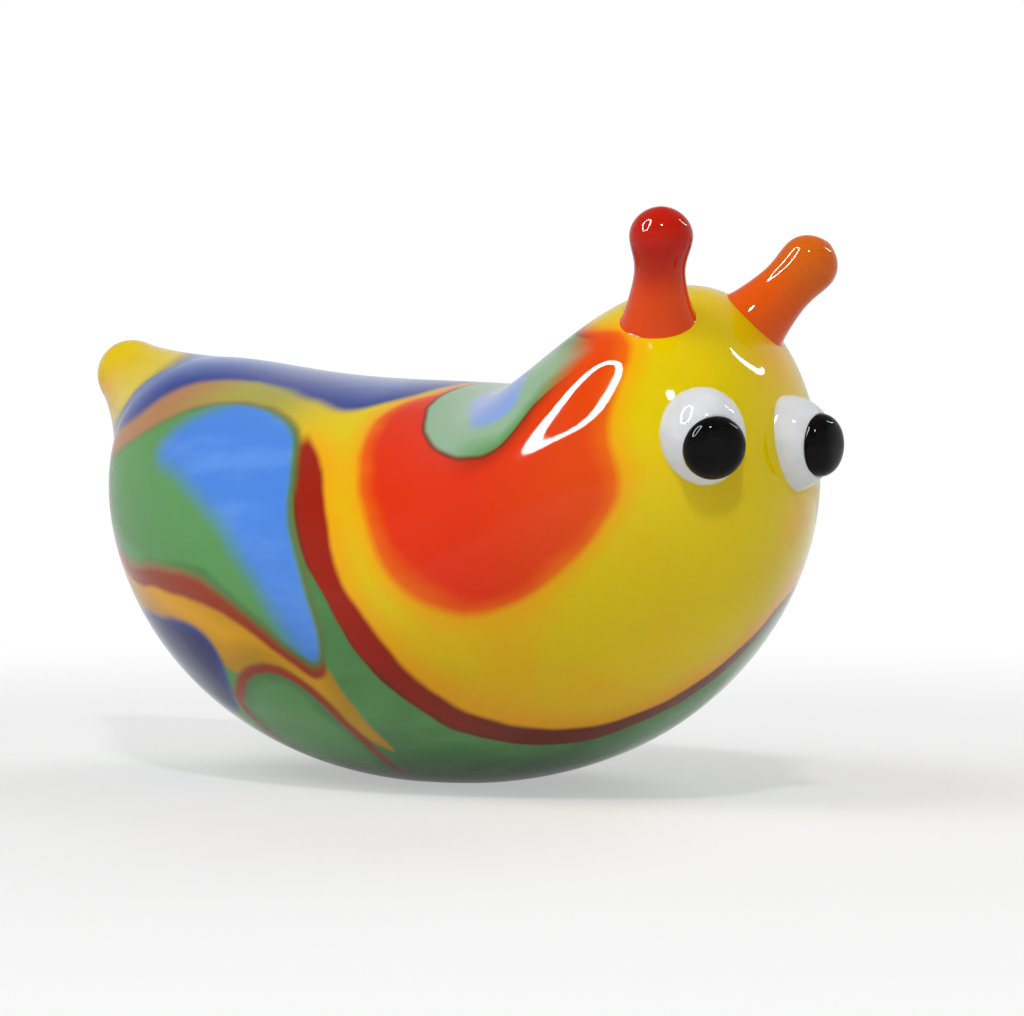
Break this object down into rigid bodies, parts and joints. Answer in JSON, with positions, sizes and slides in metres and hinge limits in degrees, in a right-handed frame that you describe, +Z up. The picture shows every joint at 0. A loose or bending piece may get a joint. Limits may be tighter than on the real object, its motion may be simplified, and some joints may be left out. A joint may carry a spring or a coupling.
{
  "type": "glass slug figurine",
  "caption": "Small lampworked glass slug with a raised head, eyes and tentacles, a drawn tail and melted dots of colour, resting on its belly.",
  "frame": {"origin": "on the table, on the flat under the belly, below the middle of the body's length", "axes": "+X towards the head, +Z up, the animal's right side towards -Y"},
  "size_m": [0.0611, 0.0314, 0.0331],
  "materials": {
    "clear_core": "gloss",
    "yellow_glass": "gloss",
    "red_glass": "gloss",
    "dark_red_glass": "gloss",
    "amber_glass": "gloss",
    "green_glass": "gloss",
    "pale_green_glass": "gloss",
    "light_blue_glass": "gloss",
    "cobalt_glass": "gloss",
    "tentacle_glass": "gloss",
    "white_glass": "gloss",
    "black_glass": "gloss"
  },
  "bodies": {
    "root": {"core": "clear_core", "face_yellow": "yellow_glass", "saddle_yellow": "yellow_glass", "tail_tip": "yellow_glass", "right_flank_red": "red_glass", "left_flank_red": "red_glass", "chest_line": "dark_red_glass", "right_low_line": "dark_red_glass", "right_rear_line": "amber_glass", "left_rear_line": "amber_glass", "belly_green": "green_glass", "right_rear_green": "green_glass", "left_rear_green": "green_glass", "right_low_green": "green_glass", "neck_green": "pale_green_glass", "neck_blue": "light_blue_glass", "back_blue": "light_blue_glass", "right_rear_blue": "light_blue_glass", "left_rear_blue": "light_blue_glass", "right_cobalt": "cobalt_glass", "left_cobalt": "cobalt_glass", "right_tentacle": "tentacle_glass", "left_tentacle": "tentacle_glass", "right_eye_white": "white_glass", "left_eye_white": "white_glass", "right_pupil": "black_glass", "left_pupil": "black_glass"}
  },
  "joints": []
}
